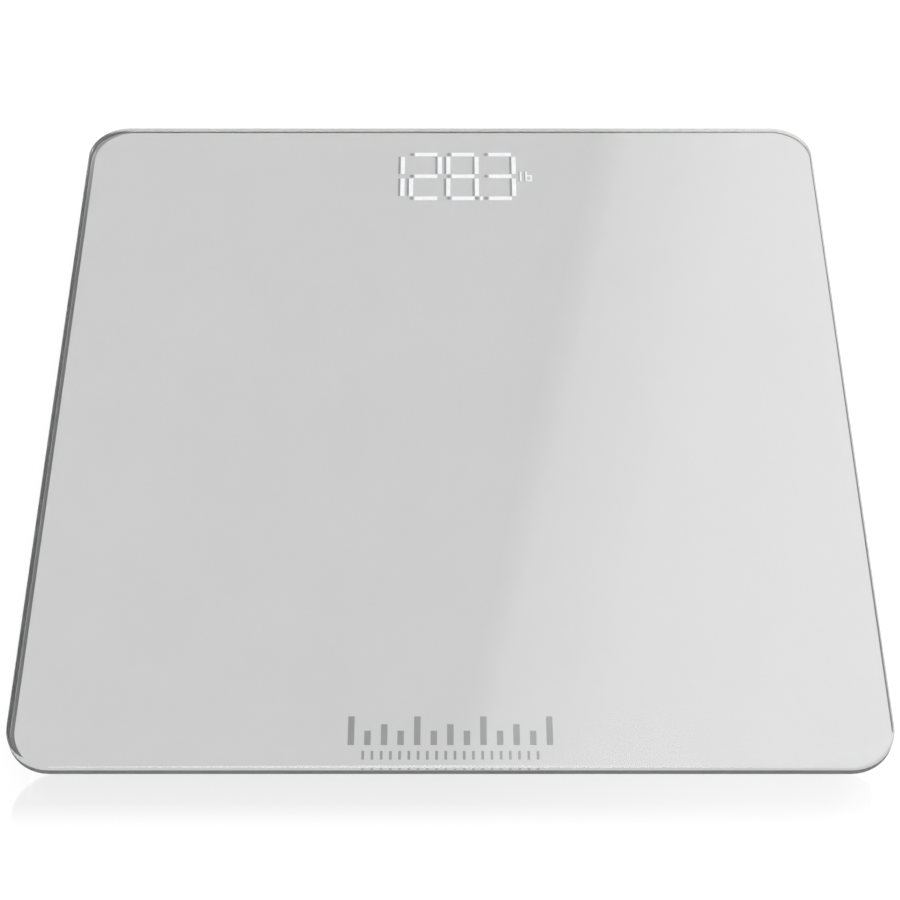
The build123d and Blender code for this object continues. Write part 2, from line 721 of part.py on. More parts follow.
def door_latch():
    """Folded spring tongue on the door's rear edge, with a barb above the base's floor."""
    x = around(0, LATCH_HALF_W)
    leaf, reach, barb = 1.0, 3.2, 1.5
    foot = BASE_BOTTOM + 0.2
    front_leaf = block(x, (DOOR_Y, DOOR_Y + leaf), (BASE_BOTTOM + 0.4, LATCH_TOP))
    fold = block(x, (DOOR_Y, DOOR_Y + reach), (LATCH_TOP - leaf, LATCH_TOP))
    rear_leaf = block(x, (DOOR_Y + reach - leaf, DOOR_Y + reach), (foot, LATCH_TOP))
    finger_lip = block(x, (DOOR_Y + reach / 2, DOOR_Y + reach), (foot, BASE_BOTTOM + 1.0))
    catch = block(x, (DOOR_Y + reach, DOOR_Y + reach + barb), (7.0, 7.9))
    return front_leaf + fold + rear_leaf + finger_lip + catch


# ---------------------------------------------------------------- build


def save_platform():
    """Glass, film, mark and the adhesive parts below them."""
    film_z = (FILM_BOTTOM, FILM_TOP)
    save("platform_glass", platform_glass())
    save("backing_film", backing_film())
    save("front_mark", group(mark_shapes(film_z)))
    save("bonding_tape", bonding_tape())
    pad = plate(38.0, 38.0, 3.0, (BASE_TOP, FILM_BOTTOM))
    save("bracket_adhesive_pads", group([at_corner(name, pad) for name in CORNERS]))


def save_base():
    """Bottom moulding, its label, and the door with its latch."""
    save("base_housing", base_housing())
    play = 0.4
    label_z = (BASE_BOTTOM + 0.1, BASE_BOTTOM + LABEL_DEPTH)
    width, depth = (side - 2 * play for side in LABEL_SIZE)
    save("rating_label", Pos(*LABEL_AT, 0) * plate(width, depth, LABEL_R - play, label_z))
    save("battery_door", battery_door())
    save("door_latch", door_latch())


def save_corners():
    """The four sensing corners."""
    gauge = block((-3, 3), around(WIRE_CELL_Y, 2.0), (CELL_Z[1], CELL_Z[1] + 0.15))
    sealant = block((-5, 5), around(WIRE_CELL_Y, 3.1), (CELL_Z[1], CELL_Z[1] + 1.6))
    sealant = fillet(sealant.faces().sort_by(Axis.Z)[-1].edges(), 0.5) - gauge
    for name in CORNERS:
        save(f"foot_pad_{name}", at_corner(name, foot_pad()))
        save(f"foot_cup_{name}", at_corner(name, foot_cup()))
        save(f"load_cell_{name}", at_corner(name, load_cell()))
        save(f"cell_bracket_{name}", at_corner(name, cell_bracket()))
        save(f"sensor_wires_{name}", sensor_wires(name))
    save("strain_gauges", group([at_corner(name, gauge) for name in CORNERS]))
    save("gauge_sealant", group([at_corner(name, sealant) for name in CORNERS]))
    screws = [screw(x, y, EAR_TOP, SCREW_R, SCREW_HEAD_R, SCREW_HEAD_H, 5.0) for x, y in boss_places()]
    save("bracket_screws", group(screws))


def save_electronics():
    """Circuit board, display, switch and connectors."""
    tips = (CHAMBER_BOTTOM, FILM_TOP)
    save("main_pcb", main_pcb())
    save("display_housing", display_housing())
    save("display_segments_lit", group(lit_shapes(tips)))
    save("display_segments_unlit", group(unlit_shapes(tips)))
    save("display_gasket", display_gasket())
    save("display_pins", group([disc(x, y, (9.2, PCB_Z[1]), 0.3) for x, y in pin_places()]))
    save("mcu_chip", chip(-13.0, 124.0, 9.0, 9.0, 11, 0.8))
    save("display_driver_chip", chip(20.0, 124.0, 17.9, 7.5, 14, 1.27))
    save("pcb_passives", pcb_passives())
    save("sensor_connectors", group([connector(x, 3) for x in (-38, -26, 26, 38)]))
    save("battery_connector", connector(0, 2))
    screws = [screw(x, y, PCB_Z[1], PCB_SCREW_R, 1.9, 1.3, 4.6) for x, y in pcb_screw_places()]
    save("pcb_screws", group(screws))
    save("tact_switch", tact_switch())
    save("switch_plunger", disc(*BUTTON_AT, (BUTTON_Z[1], PLUNGER_TOP), PLUNGER_R))
    save("unit_button", unit_button())


def save_battery_parts():
    """Cells, contacts, springs and leads."""
    for index in range(3):
        save(f"battery_{index + 1}", battery(index))
    save("battery_springs", group([battery_spring(index) for index in range(3)]))
    save("contact_positive", end_contact(1, 0))
    save("contact_negative", end_contact(-1, 2))
    save("contact_links", group([contact_plate(1, 1, 2), contact_plate(-1, 0, 1)]))
    save("battery_lead_red", battery_lead(1))
    save("battery_lead_black", battery_lead(-1))


os.makedirs("parts", exist_ok=True)
save_platform()
save_base()
save_corners()
save_electronics()
save_battery_parts()
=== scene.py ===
import json
import math

import bmesh
import bpy
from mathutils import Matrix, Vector


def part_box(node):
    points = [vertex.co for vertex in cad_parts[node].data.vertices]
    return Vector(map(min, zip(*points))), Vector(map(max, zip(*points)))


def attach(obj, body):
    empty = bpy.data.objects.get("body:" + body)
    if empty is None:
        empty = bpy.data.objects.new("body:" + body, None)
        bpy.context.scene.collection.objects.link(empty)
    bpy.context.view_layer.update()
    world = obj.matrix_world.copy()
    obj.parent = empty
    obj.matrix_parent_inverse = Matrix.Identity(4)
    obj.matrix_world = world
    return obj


MM = 0.001

# Camera: a person's view down on the scale from in front of it
CAMERA_AT = (-0.00012, -0.47688, 0.64247)
CAMERA_TILT_DEG = 36.599
LENS_MM = 82.97

# Soft studio light: a large bright area on the right, whose left edge shows as a slanting line in the glass.
# The edge is a plane through the camera's mirror image, given by its normal.
LIGHT_SIDE = (0.974, -0.2042, 0.0984)
SKY_STOPS = (
    (-1.0, 0.16),
    (-0.001, 0.16),
    (0.001, 1.30),
    (0.064, 2.95),
    (0.14, 3.6),
    (0.40, 3.4),
    (0.80, 1.2),
    (1.0, 0.9),
)
SKY_TOP = 4.0

# Paint of the film, and the strength of its own gloss
FILM_TONE = (0.466, 0.466, 0.466)
FILM_GLOSS = 0.05

# Glass: its corner radius, and its ground edge, which starts below the top and reaches in from the outline;
# the ground edge is tinted near black as painted shade
GLASS_R = 16.0 * MM
GROUND_DEPTH = 0.95 * MM
GROUND_START = 2.0 * MM
GROUND_PAINTED_SHADE = (0.07, 0.071, 0.071)
GROUND_ROUGHNESS = 0.25

# Floor: its size, its own brightness, how much of it is diffuse or mirrors, and the grey band in front, a
# painted reflection of the object
FLOOR_REACH = 6.0
FLOOR_GLOW = 1.09
FLOOR_DIFFUSE = 0.12
FLOOR_SHEEN = 0.06
REFLECTION_HALF_W = 150.0 * MM
REFLECTION_NEAR_Y = -139.0 * MM
REFLECTION_SOFT = 0.6 * MM
REFLECTION_FADE_Y = (-160.6 * MM, -150.5 * MM)
REFLECTION_DEPTH = (0.135, 0.07)

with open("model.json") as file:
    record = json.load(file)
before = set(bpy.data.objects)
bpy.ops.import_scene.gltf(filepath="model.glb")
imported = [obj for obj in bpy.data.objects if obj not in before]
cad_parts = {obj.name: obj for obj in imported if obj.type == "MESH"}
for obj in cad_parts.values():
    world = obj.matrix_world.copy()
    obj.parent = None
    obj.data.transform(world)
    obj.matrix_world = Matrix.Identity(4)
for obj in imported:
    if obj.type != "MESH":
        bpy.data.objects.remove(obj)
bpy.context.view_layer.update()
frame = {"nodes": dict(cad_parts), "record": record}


# ---------------------------------------------------------------- node helpers


def new_tree(name):
    """A new material, its node tree, and its output node."""
    material = bpy.data.materials.new(name)
    material.use_nodes = True
    tree = material.node_tree
    tree.nodes.clear()
    return material, tree, tree.nodes.new("ShaderNodeOutputMaterial")


def add(tree, kind, *links, **values):
    """A new node. values are its properties, or numbers for its sockets; links are (socket, source) pairs."""
    node = tree.nodes.new(kind)
    for key, value in values.items():
        if hasattr(node, key):
            setattr(node, key, value)
        else:
            node.inputs[key.replace("_", " ")].default_value = value
    for socket, source in links:
        tree.links.new(source, node.inputs[socket])
    return node


def place(tree):
    """Position on the object, in metres."""
    return add(tree, "ShaderNodeTexCoord").outputs["Object"]


def noise(tree, size_mm, detail=3.0, roughness=0.5, where=None):
    """Noise from 0 to 1 whose patches are about size_mm wide."""
    node = add(tree, "ShaderNodeTexNoise", ("Vector", where or place(tree)), Scale=1.0 / (size_mm * MM))
    node.inputs["Detail"].default_value = detail
    node.inputs["Roughness"].default_value = roughness
    return node.outputs["Fac"]


def spread(tree, source, low, high, start=0.3, end=0.7):
    """Maps start..end of a noise to low..high."""
    node = add(tree, "ShaderNodeMapRange", ("Value", source))
    node.inputs["From Min"].default_value = start
    node.inputs["From Max"].default_value = end
    node.inputs["To Min"].default_value = low
    node.inputs["To Max"].default_value = high
    return node.outputs["Result"]


def math_node(tree, operation, *values):
    """A Math node fed with numbers or sockets."""
    node = add(tree, "ShaderNodeMath", operation=operation)
    for index, value in enumerate(values):
        if isinstance(value, (int, float)):
            node.inputs[index].default_value = value
        else:
            tree.links.new(value, node.inputs[index])
    return node.outputs[0]


def corner_distance(tree, across, along):
    """Distance from the centre of a rounded corner, where a negative value of either socket counts as 0."""
    squares = [math_node(tree, "POWER", math_node(tree, "MAXIMUM", way, 0.0), 2.0) for way in (across, along)]
    return math_node(tree, "SQRT", math_node(tree, "ADD", *squares))


def shade(tree, colour, factor):
    """The colour times a factor socket."""
    node = add(tree, "ShaderNodeVectorMath", operation="SCALE")
    node.inputs[0].default_value = colour
    tree.links.new(factor, node.inputs["Scale"])
    return node.outputs[0]


def blend_colours(tree, factor, first, second):
    """Mixes two colours, given as tuples or sockets, by a factor socket."""
    node = add(tree, "ShaderNodeMix", data_type="RGBA")
    tree.links.new(factor, node.inputs["Factor"])
    colour_sockets = [socket for socket in node.inputs if socket.type == "RGBA"]
    for socket, value in zip(colour_sockets, (first, second)):
        if isinstance(value, tuple):
            socket.default_value = (*value, 1.0)
        else:
            tree.links.new(value, socket)
    return next(socket for socket in node.outputs if socket.type == "RGBA")


def bump(tree, height, depth_mm, strength=1.0):
    """Normal from a height socket."""
    node = add(tree, "ShaderNodeBump", ("Height", height), Strength=strength, Distance=depth_mm * MM)
    return node.outputs["Normal"]


def finish_surface(tree, output, **sockets):
    """A Principled shader with the given sockets, as numbers, colours or node outputs, on the output."""
    shader = add(tree, "ShaderNodeBsdfPrincipled")
    for key, value in sockets.items():
        socket = shader.inputs[key.replace("_", " ")]
        if isinstance(value, bpy.types.NodeSocket):
            tree.links.new(value, socket)
        elif isinstance(value, tuple):
            socket.default_value = (*value, 1.0)
        else:
            socket.default_value = value
    tree.links.new(shader.outputs[0], output.inputs["Surface"])
    return shader


# ---------------------------------------------------------------- materials


def moulded(name, colour, roughness=0.5, grain_mm=0.35, grain_depth=0.02, mottling=0.08, scuff=0.0, **extra):
    """Moulded plastic: spark-eroded grain, slow colour drift, patchy gloss and light scuffs."""
    material, tree, output = new_tree(name)
    drift = noise(tree, 38.0, 2.0)
    fine = noise(tree, grain_mm, 4.0, 0.6)
    tone = math_node(tree, "MULTIPLY", spread(tree, drift, 1 - mottling, 1 + mottling),
                     spread(tree, fine, 1 - mottling / 2, 1 + mottling / 2))
    colour_out = shade(tree, colour, tone)
    if scuff:
        streak_place = add(tree, "ShaderNodeMapping", ("Vector", place(tree)))
        streak_place.inputs["Scale"].default_value = (1.0, 0.12, 1.0)
        streaks = noise(tree, 2.2, 6.0, 0.7, streak_place.outputs[0])
        mask = spread(tree, streaks, 0.0, scuff, 0.62, 0.78)
        pale = tuple(min(1.0, 0.16 + 1.4 * c) for c in colour)
        colour_out = blend_colours(tree, mask, colour_out, pale)
    gloss = spread(tree, noise(tree, 11.0, 3.0), roughness - 0.07, roughness + 0.07)
    height = math_node(tree, "ADD", fine, math_node(tree, "MULTIPLY", noise(tree, grain_mm * 3.5, 2.0), 0.6))
    finish_surface(tree, output, Base_Color=colour_out, Roughness=gloss,
                   Normal=bump(tree, height, grain_depth), **extra)
    return material


def metal(name, colour, roughness=0.3, brushed=(1.0, 1.0, 1.0), tarnish=(0.0, (0.3, 0.25, 0.2))):
    """Sheet or drawn metal with a brushed grain, cloudy gloss and a little tarnish."""
    material, tree, output = new_tree(name)
    stretch = add(tree, "ShaderNodeMapping", ("Vector", place(tree)))
    stretch.inputs["Scale"].default_value = brushed
    lines = noise(tree, 0.25, 4.0, 0.65, stretch.outputs[0])
    clouds = noise(tree, 9.0, 3.0)
    tone = math_node(tree, "MULTIPLY", spread(tree, lines, 0.93, 1.05), spread(tree, clouds, 0.95, 1.03))
    colour_out = shade(tree, colour, tone)
    if tarnish[0]:
        mask = spread(tree, noise(tree, 3.5, 5.0, 0.6), 0.0, tarnish[0], 0.52, 0.75)
        colour_out = blend_colours(tree, mask, colour_out, tarnish[1])
    gloss = spread(tree, clouds, roughness - 0.06, roughness + 0.1)
    finish_surface(tree, output, Base_Color=colour_out, Metallic=1.0, Roughness=gloss,
                   Normal=bump(tree, lines, 0.004))
    return material


def foam(name, colour):
    """Closed-cell foam: small round cells, matt, with painted shade darkening the middle of each cell."""
    material, tree, output = new_tree(name)
    cells = add(tree, "ShaderNodeTexVoronoi", ("Vector", place(tree)), Scale=1.0 / (0.3 * MM))
    depth = spread(tree, cells.outputs["Distance"], 0.0, 1.0, 0.1, 0.7)
    # painted shade: the colour darkens where the cell is deepest
    tone = math_node(tree, "MULTIPLY", spread(tree, depth, 0.82, 1.04, 0.0, 1.0),
                     spread(tree, noise(tree, 14.0), 0.95, 1.04))
    finish_surface(tree, output, Base_Color=shade(tree, colour, tone), Roughness=0.9,
                   Normal=bump(tree, depth, 0.05))
    return material


def rubber(name, colour):
    """Thermoplastic rubber: soft grain, dull bloom, with floor dust on the lowest faces."""
    material, tree, output = new_tree(name)
    fine = noise(tree, 0.3, 4.0, 0.6)
    bloom = spread(tree, noise(tree, 7.0, 4.0, 0.6), 0.85, 1.3)
    height = add(tree, "ShaderNodeSeparateXYZ", ("Vector", place(tree))).outputs["Z"]
    low = spread(tree, height, 0.6, 0.0, 0.0, 0.9 * MM)
    dusty = math_node(tree, "MULTIPLY", low, spread(tree, noise(tree, 1.6, 5.0, 0.65), 0.0, 1.0, 0.45, 0.7))
    colour_out = blend_colours(tree, dusty, shade(tree, colour, bloom), (0.26, 0.25, 0.235))
    gloss = spread(tree, noise(tree, 5.0, 3.0), 0.62, 0.82)
    finish_surface(tree, output, Base_Color=colour_out, Roughness=gloss, Normal=bump(tree, fine, 0.03))
    return material


def silver_film(name, shade_attribute=None):
    """Silver paint under the glass: fine flakes in a satin coat. An optional attribute darkens it, for
    painted shadow.
    """
    material, tree, output = new_tree(name)
    flakes = add(tree, "ShaderNodeTexVoronoi", ("Vector", place(tree)), Scale=1.0 / (0.22 * MM))
    flake_tone = add(tree, "ShaderNodeSeparateColor", ("Color", flakes.outputs["Color"])).outputs["Red"]
    clouds = noise(tree, 60.0, 2.0)
    tone = math_node(tree, "MULTIPLY", spread(tree, flake_tone, 0.98, 1.02, 0.0, 1.0),
                     spread(tree, clouds, 0.995, 1.005))
    if shade_attribute:
        dark = add(tree, "ShaderNodeAttribute", attribute_name=shade_attribute).outputs["Fac"]
        tone = math_node(tree, "MULTIPLY", tone, math_node(tree, "SUBTRACT", 1.0, dark))
    gloss = spread(tree, flake_tone, 0.42, 0.56, 0.0, 1.0)
    finish_surface(tree, output, Base_Color=shade(tree, FILM_TONE, tone), Roughness=gloss,
                   Specular_IOR_Level=FILM_GLOSS, Normal=bump(tree, flakes.outputs["Distance"], 0.002))
    return material


def bonded_area(tree):
    """1 on the glass's lower face where the film is bonded to it, and 0 elsewhere."""
    low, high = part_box("backing_film")
    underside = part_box("platform_glass")[0].z + 0.02 * MM
    parts = add(tree, "ShaderNodeSeparateXYZ", ("Vector", place(tree)))
    inside = math_node(tree, "LESS_THAN", parts.outputs["Z"], underside)
    for axis, start, end in (("X", low.x, high.x), ("Y", low.y, high.y)):
        offset = math_node(tree, "SUBTRACT", parts.outputs[axis], (start + end) / 2)
        away = math_node(tree, "ABSOLUTE", offset)
        inside = math_node(tree, "MULTIPLY", inside, math_node(tree, "LESS_THAN", away, (end - start) / 2))
    return inside


def ground_and_shaded_edge(tree):
    """1 on the ground side faces of the glass, which are rough and tinted dark as painted shade, and 0 on its
    top and on the polished rounding beside it.
    """
    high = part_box("platform_glass")[1]
    parts = add(tree, "ShaderNodeSeparateXYZ", ("Vector", place(tree)))
    beyond = []
    for axis, reach in (("X", high.x), ("Y", high.y)):
        away = math_node(tree, "ABSOLUTE", parts.outputs[axis])
        beyond.append(math_node(tree, "SUBTRACT", away, reach - GLASS_R))
    out = corner_distance(tree, *beyond)
    rim = math_node(tree, "GREATER_THAN", out, GLASS_R - GROUND_DEPTH)
    below_rounding = math_node(tree, "LESS_THAN", parts.outputs["Z"], high.z - GROUND_START)
    return math_node(tree, "MULTIPLY", rim, below_rounding)


def clear_glass(name):
    """Tempered float glass: clear, grey in its depth, with wiping haze and a ground edge tinted dark as
    painted shade. Lamps and soft light pass through.
    """
    material, tree, output = new_tree(name)
    ground = ground_and_shaded_edge(tree)
    haze = spread(tree, noise(tree, 45.0, 5.0, 0.6), 0.0, 0.004, 0.45, 0.75)
    gloss = math_node(tree, "MULTIPLY_ADD", ground, GROUND_ROUGHNESS, haze)
    # painted shade: the ground side faces are tinted near black
    tint = blend_colours(tree, ground, (1.0, 1.0, 1.0), GROUND_PAINTED_SHADE)
    shader = finish_surface(tree, output, Base_Color=tint, Roughness=gloss, IOR=1.5,
                            Transmission_Weight=1.0)
    bond = add(tree, "ShaderNodeBsdfTransparent")
    faces = add(tree, "ShaderNodeMixShader", (0, bonded_area(tree)),
                (1, shader.outputs[0]), (2, bond.outputs[0]))
    clear = add(tree, "ShaderNodeBsdfTransparent")
    clear.inputs["Color"].default_value = (0.97, 0.972, 0.97, 1.0)
    rays = add(tree, "ShaderNodeLightPath")
    lit_inside = add(tree, "ShaderNodeMixShader", (0, rays.outputs["Is Diffuse Ray"]),
                     (1, faces.outputs[0]), (2, clear.outputs[0]))
    lamps = add(tree, "ShaderNodeMixShader", (0, rays.outputs["Is Shadow Ray"]),
                (1, lit_inside.outputs[0]), (2, clear.outputs[0]))
    tree.links.new(lamps.outputs[0], output.inputs["Surface"])
    body = add(tree, "ShaderNodeVolumeAbsorption", Density=9.0)
    body.inputs["Color"].default_value = (0.575, 0.60, 0.59, 1.0)
    tree.links.new(body.outputs[0], output.inputs["Volume"])
    return material


def display_light(name):
    """Diffused white light of a lit bar, a little uneven from its light guide."""
    material, tree, output = new_tree(name)
    glow = spread(tree, noise(tree, 2.5, 2.0), 0.84, 0.92)
    shader = finish_surface(tree, output, Base_Color=(0.05, 0.05, 0.05), Roughness=0.4,
                            Emission_Color=(0.98, 0.98, 1.0))
    tree.links.new(glow, shader.inputs["Emission Strength"])
    return material


def circuit_board(name):
    """Green solder mask over faint tracks."""
    material, tree, output = new_tree(name)
    tracks = add(tree, "ShaderNodeTexBrick", ("Vector", place(tree)), Scale=260.0)
    tracks.inputs["Color1"].default_value = (0.012, 0.11, 0.045, 1.0)
    tracks.inputs["Color2"].default_value = (0.014, 0.13, 0.052, 1.0)
    tracks.inputs["Mortar"].default_value = (0.03, 0.20, 0.085, 1.0)
    tracks.inputs["Mortar Size"].default_value = 0.05
    normal = bump(tree, tracks.outputs["Fac"], 0.02)
    gloss = spread(tree, noise(tree, 6.0), 0.25, 0.4)
    finish_surface(tree, output, Base_Color=tracks.outputs["Color"], Roughness=gloss, Normal=normal)
    return material


def battery_can(name):
    """Plain printed cell wrapper: dark body, pale band at the positive end."""
    material, tree, output = new_tree(name)
    along = add(tree, "ShaderNodeSeparateXYZ", ("Vector", place(tree))).outputs["X"]
    band = math_node(tree, "LESS_THAN", math_node(tree, "ABSOLUTE", along), 11.0 * MM)
    scratch = spread(tree, noise(tree, 0.8, 6.0, 0.7), 0.9, 1.1)
    colour_out = blend_colours(tree, band, shade(tree, (0.55, 0.56, 0.57), scratch),
                               shade(tree, (0.035, 0.04, 0.05), scratch))
    gloss = spread(tree, noise(tree, 4.0), 0.22, 0.38)
    finish_surface(tree, output, Base_Color=colour_out, Roughness=gloss, Metallic=0.35, Coat_Weight=0.4,
                   Normal=bump(tree, noise(tree, 1.5), 0.01))
    return material


def label_paper(name):
    """Blank satin label with a thin printed border, in the label's own plane."""
    material, tree, output = new_tree(name)
    low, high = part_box("rating_label")
    middle = (low + high) / 2
    half = (high - low) / 2
    parts = add(tree, "ShaderNodeSeparateXYZ", ("Vector", place(tree)))
    edge = None
    for axis, centre, reach in (("X", middle.x, half.x), ("Y", middle.y, half.y)):
        away = math_node(tree, "ABSOLUTE", math_node(tree, "SUBTRACT", parts.outputs[axis], centre))
        inside = math_node(tree, "SUBTRACT", reach, away)
        edge = inside if edge is None else math_node(tree, "MINIMUM", edge, inside)
    line = math_node(tree, "COMPARE", edge, 2.0 * MM, 0.2 * MM)
    fibre = spread(tree, noise(tree, 0.5, 5.0, 0.7), 0.96, 1.02)
    colour_out = blend_colours(tree, line, shade(tree, (0.74, 0.745, 0.75), fibre), (0.25, 0.25, 0.26))
    gloss = spread(tree, noise(tree, 8.0), 0.38, 0.5)
    finish_surface(tree, output, Base_Color=colour_out, Roughness=gloss, Normal=bump(tree, fibre, 0.01))
    return material


def make_materials():
    """One material for each slot of the record."""
    steel = (0.56, 0.57, 0.58)
    tin = (0.72, 0.71, 0.68)
    return {
        "platform_glass": clear_glass("platform_glass"),
        "silver_film": silver_film("silver_film"),
        "front_print": moulded("front_print", (0.215, 0.216, 0.220), 0.5, grain_mm=0.2, grain_depth=0.004),
        "foam_tape": foam("foam_tape", (0.78, 0.78, 0.75)),
        "base_plastic": moulded("base_plastic", (0.036, 0.037, 0.040), 0.52, grain_depth=0.035, scuff=0.12),
        "door_plastic": moulded("door_plastic", (0.038, 0.039, 0.042), 0.5, grain_depth=0.03, scuff=0.12),
        "label": label_paper("label"),
        "foot_rubber": rubber("foot_rubber", (0.060, 0.060, 0.063)),
        "foot_plastic": moulded("foot_plastic", (0.028, 0.028, 0.030), 0.45, grain_depth=0.015, scuff=0.08),
        "cell_steel": metal("cell_steel", steel, 0.32, (1.0, 0.06, 1.0), (0.25, (0.35, 0.30, 0.24))),
        "bracket_plastic": moulded("bracket_plastic", (0.62, 0.62, 0.60), 0.45, grain_depth=0.01),
        "wire_insulation": moulded("wire_insulation", (0.60, 0.60, 0.58), 0.38, grain_mm=0.6,
                                   grain_depth=0.008),
        "screw_steel": metal("screw_steel", (0.50, 0.50, 0.51), 0.28, tarnish=(0.2, (0.2, 0.17, 0.12))),
        "gauge_foil": metal("gauge_foil", (0.75, 0.45, 0.16), 0.35, (0.05, 1.0, 1.0)),
        "white_sealant": moulded("white_sealant", (0.80, 0.80, 0.77), 0.35, grain_mm=2.0, grain_depth=0.05,
                                 Subsurface_Weight=0.15),
        "circuit_board": circuit_board("circuit_board"),
        "display_body": moulded("display_body", (0.030, 0.030, 0.032), 0.6, grain_depth=0.01),
        "display_light": display_light("display_light"),
        "display_resin": silver_film("display_resin"),
        "tinned_metal": metal("tinned_metal", tin, 0.30, tarnish=(0.3, (0.42, 0.40, 0.36))),
        "chip_epoxy": moulded("chip_epoxy", (0.020, 0.020, 0.021), 0.55, grain_mm=0.15, grain_depth=0.01),
        "passives_ceramic": moulded("passives_ceramic", (0.42, 0.33, 0.24), 0.45, grain_mm=0.3, mottling=0.3),
        "connector_plastic": moulded("connector_plastic", (0.76, 0.74, 0.68), 0.4, grain_depth=0.006),
        "switch_body": moulded("switch_body", (0.024, 0.024, 0.026), 0.4, grain_depth=0.006),
        "button_plastic": moulded("button_plastic", (0.30, 0.30, 0.31), 0.42, grain_depth=0.012, scuff=0.2),
        "battery_can": battery_can("battery_can"),
        "lead_red": moulded("lead_red", (0.50, 0.02, 0.02), 0.38, grain_mm=0.6, grain_depth=0.008),
        "lead_black": moulded("lead_black", (0.018, 0.018, 0.019), 0.38, grain_mm=0.6, grain_depth=0.008),
    }


def dress_cad_nodes(materials):
    """Gives every CAD node the material of its slot in the record."""
    for part in frame["record"]["subparts"]:
        mesh = frame["nodes"][part["node"]].data
        mesh.materials.clear()
        mesh.materials.append(materials[part["material_slot"]])


# ---------------------------------------------------------------- added pieces


def bars_of(node):
    """Plan limits (x0, x1, y0, y1) of each separate bar in a CAD node, in metres."""
    shape = bmesh.new()
    shape.from_mesh(frame["nodes"][node].data)
    bmesh.ops.remove_doubles(shape, verts=shape.verts, dist=0.001 * MM)
    left = set(shape.verts)
    bars = []
    while left:
        found = {left.pop()}
        edge = set(found)
        while edge:
            edge = {e.other_vert(v) for v in edge for e in v.link_edges} - found
            found |= edge
        left -= found
        xs = [v.co.x for v in found]
        ys = [v.co.y for v in found]
        bars.append((min(xs), max(xs), min(ys), max(ys)))
    shape.free()
    return sorted(bars)


def shaded_strip(shape, shade_of, bar, width, dark):
    """Strip of painted shadow along a bar's left side that fades away from it."""
    x, _, low, high = bar
    columns = [(x - width, 0.0), (x - 0.7 * width, 0.8 * dark), (x, dark)]
    rows = [[shape.verts.new((cx, cy, 0)) for cx, _ in columns] for cy in (low, high)]
    for row in rows:
        for vert, (_, level) in zip(row, columns):
            vert[shade_of] = level
    for index in range(len(columns) - 1):
        shape.faces.new((rows[0][index], rows[0][index + 1], rows[1][index + 1], rows[1][index]))


def shaded_dot(shape, shade_of, x, y, radius, dark):
    """Round spot of painted shadow that fades towards its rim."""
    sides = 20
    middle = shape.verts.new((x, y, 0))
    middle[shade_of] = dark
    rings = []
    for reach, level in ((0.55 * radius, 0.9 * dark), (radius, 0.0)):
        ring = []
        for index in range(sides):
            turn = 2 * math.pi * index / sides
            vert = shape.verts.new((x + reach * math.cos(turn), y + reach * math.sin(turn), 0))
            vert[shade_of] = level
            ring.append(vert)
        rings.append(ring)
    inner, outer = rings
    for index in range(sides):
        after = (index + 1) % sides
        shape.faces.new((middle, inner[index], inner[after]))
        shape.faces.new((inner[index], outer[index], outer[after], inner[after]))


def make_segment_shadows(material):
    """Painted shadow at the left of the lit bars: a grey strip beside an upright bar, a grey spot beside the
    others.
    """
    letter_h = 6.0 * MM
    digit_shade, letter_shade = 0.52, 0.42
    digit_strip, letter_strip = 1.15 * MM, 0.7 * MM
    dot_r, dot_away = 1.1 * MM, 1.2 * MM
    shape = bmesh.new()
    shade_of = shape.verts.layers.float.new("shade")
    for bar in bars_of("display_segments_lit"):
        x0, x1, y0, y1 = bar
        if (y1 - y0) <= 1.9 * (x1 - x0):
            shaded_dot(shape, shade_of, x0 - dot_away, (y0 + y1) / 2, dot_r, digit_shade)
        elif (y1 - y0) < letter_h:
            shaded_strip(shape, shade_of, bar, letter_strip, letter_shade)
        else:
            shaded_strip(shape, shade_of, bar, digit_strip, digit_shade)
    mesh = bpy.data.meshes.new("segment_shadows")
    shape.to_mesh(mesh)
    shape.free()
    piece = bpy.data.objects.new("segment_shadows", mesh)
    bpy.context.scene.collection.objects.link(piece)
    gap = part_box("platform_glass")[0].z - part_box("backing_film")[1].z
    piece.location.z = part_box("backing_film")[1].z + 0.6 * gap
    thick = piece.modifiers.new("thickness", "SOLIDIFY")
    thick.thickness = 0.4 * gap
    thick.offset = -1.0
    mesh.materials.append(material)
    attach(piece, "base")


# ---------------------------------------------------------------- stage, light and camera


def floor_glow_and_painted_reflection(tree):
    """Brightness of the floor: a soft grey band in front of the object, a painted reflection of it, deeper on
    the left.
    """
    parts = add(tree, "ShaderNodeSeparateXYZ", ("Vector", place(tree)))
    x, y = parts.outputs["X"], parts.outputs["Y"]
    aside = math_node(tree, "SUBTRACT", math_node(tree, "ABSOLUTE", x), REFLECTION_HALF_W - GLASS_R)
    beyond = math_node(tree, "SUBTRACT", y, REFLECTION_NEAR_Y - GLASS_R)
    out = corner_distance(tree, aside, beyond)
    across = spread(tree, out, 1.0, 0.0, GLASS_R - REFLECTION_SOFT, GLASS_R + REFLECTION_SOFT)
    along = spread(tree, y, 0.0, 1.0, *REFLECTION_FADE_Y)
    in_front = math_node(tree, "LESS_THAN", y, 0.0)
    depth = spread(tree, x, *REFLECTION_DEPTH, 0.0, REFLECTION_HALF_W * 0.7)
    band = math_node(tree, "MULTIPLY", math_node(tree, "MULTIPLY", across, along), in_front)
    reflection_dim = math_node(tree, "MULTIPLY", band, depth)
    return math_node(tree, "MULTIPLY", math_node(tree, "SUBTRACT", 1.0, reflection_dim), FLOOR_GLOW)


